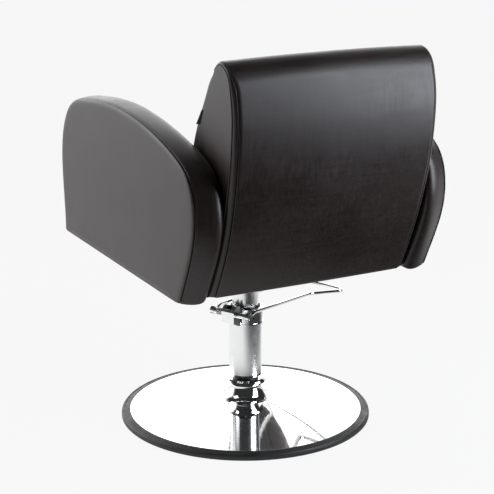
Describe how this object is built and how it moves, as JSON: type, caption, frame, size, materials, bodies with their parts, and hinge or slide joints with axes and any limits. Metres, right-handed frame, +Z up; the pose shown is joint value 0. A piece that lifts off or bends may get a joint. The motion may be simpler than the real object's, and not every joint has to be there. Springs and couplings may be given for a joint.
{
  "type": "styling chair",
  "caption": "Salon styling chair: black upholstered tub shell with D-shaped arms, swivelling on a hydraulic column with a round chromed base and a wire foot pedal.",
  "frame": {"origin": "on the floor under the axis of the column", "axes": "+Z up; the sitter faces -Y; +X is the sitter's left; the pedal points 25 degrees forward of -X"},
  "size_m": [0.636, 0.7582, 0.919],
  "materials": {
    "black_leatherette": "satin",
    "padded_leatherette": "satin",
    "plywood": "matte",
    "polished_chrome": "polished",
    "black_rubber": "satin",
    "cast_iron_ballast": "matte",
    "black_steel": "satin",
    "bright_steel": "satin",
    "nylon": "matte",
    "underside_cloth": "matte",
    "label_ribbon": "matte"
  },
  "bodies": {
    "base": {"base_dish": "polished_chrome", "base_trim_ring": "black_rubber", "base_weight_plate": "cast_iron_ballast", "pump_flange": "black_steel", "flange_bolts": "bright_steel", "pump_cylinder": "black_steel", "neck_sleeve": "black_rubber", "base_collar": "polished_chrome", "tube_seat_ring": "polished_chrome", "lower_tube": "polished_chrome", "head_ring": "polished_chrome", "cylinder_gland": "bright_steel", "guide_bush": "nylon", "wiper_seal": "black_rubber", "pump_head": "polished_chrome", "head_screws": "black_steel", "pedal_return_spring": "bright_steel"},
    "pedal": {"pedal_cross_shaft": "polished_chrome", "pedal_collars": "polished_chrome", "pedal_cam": "bright_steel", "pedal_loop": "polished_chrome"},
    "plunger": {"pump_plunger": "bright_steel"},
    "piston": {"piston_rod": "bright_steel", "piston_head": "black_rubber", "column_skirt": "polished_chrome", "skirt_cap": "bright_steel", "thrust_washer": "nylon"},
    "chair": {"mount_plate": "black_steel", "mount_bolts": "bright_steel", "seat_board": "plywood", "seat_rail_front": "plywood", "seat_rail_rear": "plywood", "seat_rail_left": "plywood", "seat_rail_right": "plywood", "dust_cover": "underside_cloth", "seat_cushion": "padded_leatherette", "seat_front_cover": "black_leatherette", "arm_core_left": "plywood", "arm_core_right": "plywood", "arm_inner_pad_left": "padded_leatherette", "arm_inner_pad_right": "padded_leatherette", "arm_outer_pad_left": "padded_leatherette", "arm_outer_pad_right": "padded_leatherette", "arm_band_left": "black_leatherette", "arm_band_right": "black_leatherette", "arm_bolts_left": "bright_steel", "arm_bolts_right": "bright_steel", "back_side_left": "black_leatherette", "back_side_right": "black_leatherette", "back_rear_panel": "black_leatherette", "back_board": "plywood", "back_cushion": "padded_leatherette", "back_brackets": "black_steel", "back_bolts": "bright_steel", "back_label_tab": "label_ribbon"}
  },
  "joints": [
    {"name": "seat_lift", "type": "slide", "parent": "base", "child": "piston", "axis": [0, 0, 1], "range_m": [-0.06, 0.09]},
    {"name": "seat_swivel", "type": "hinge", "parent": "piston", "child": "chair", "pos_m": [0, 0, 0.4], "axis": [0, 0, 1], "continuous": true},
    {"name": "pedal_press", "type": "hinge", "parent": "base", "child": "pedal", "pos_m": [0.05166, 0.02409, 0.265], "axis": [0.4226, -0.9063, 0], "range_deg": [0, 18], "stiffness_Nm_per_rad": 8, "springref_deg": -20.05},
    {"name": "plunger_stroke", "type": "slide", "parent": "base", "child": "plunger", "axis": [0, 0, -1], "range_m": [0, 0.0041]}
  ],
  "couplings": [
    {"joint": "plunger_stroke", "follows": "pedal_press", "m_per_rad": 0.013}
  ]
}
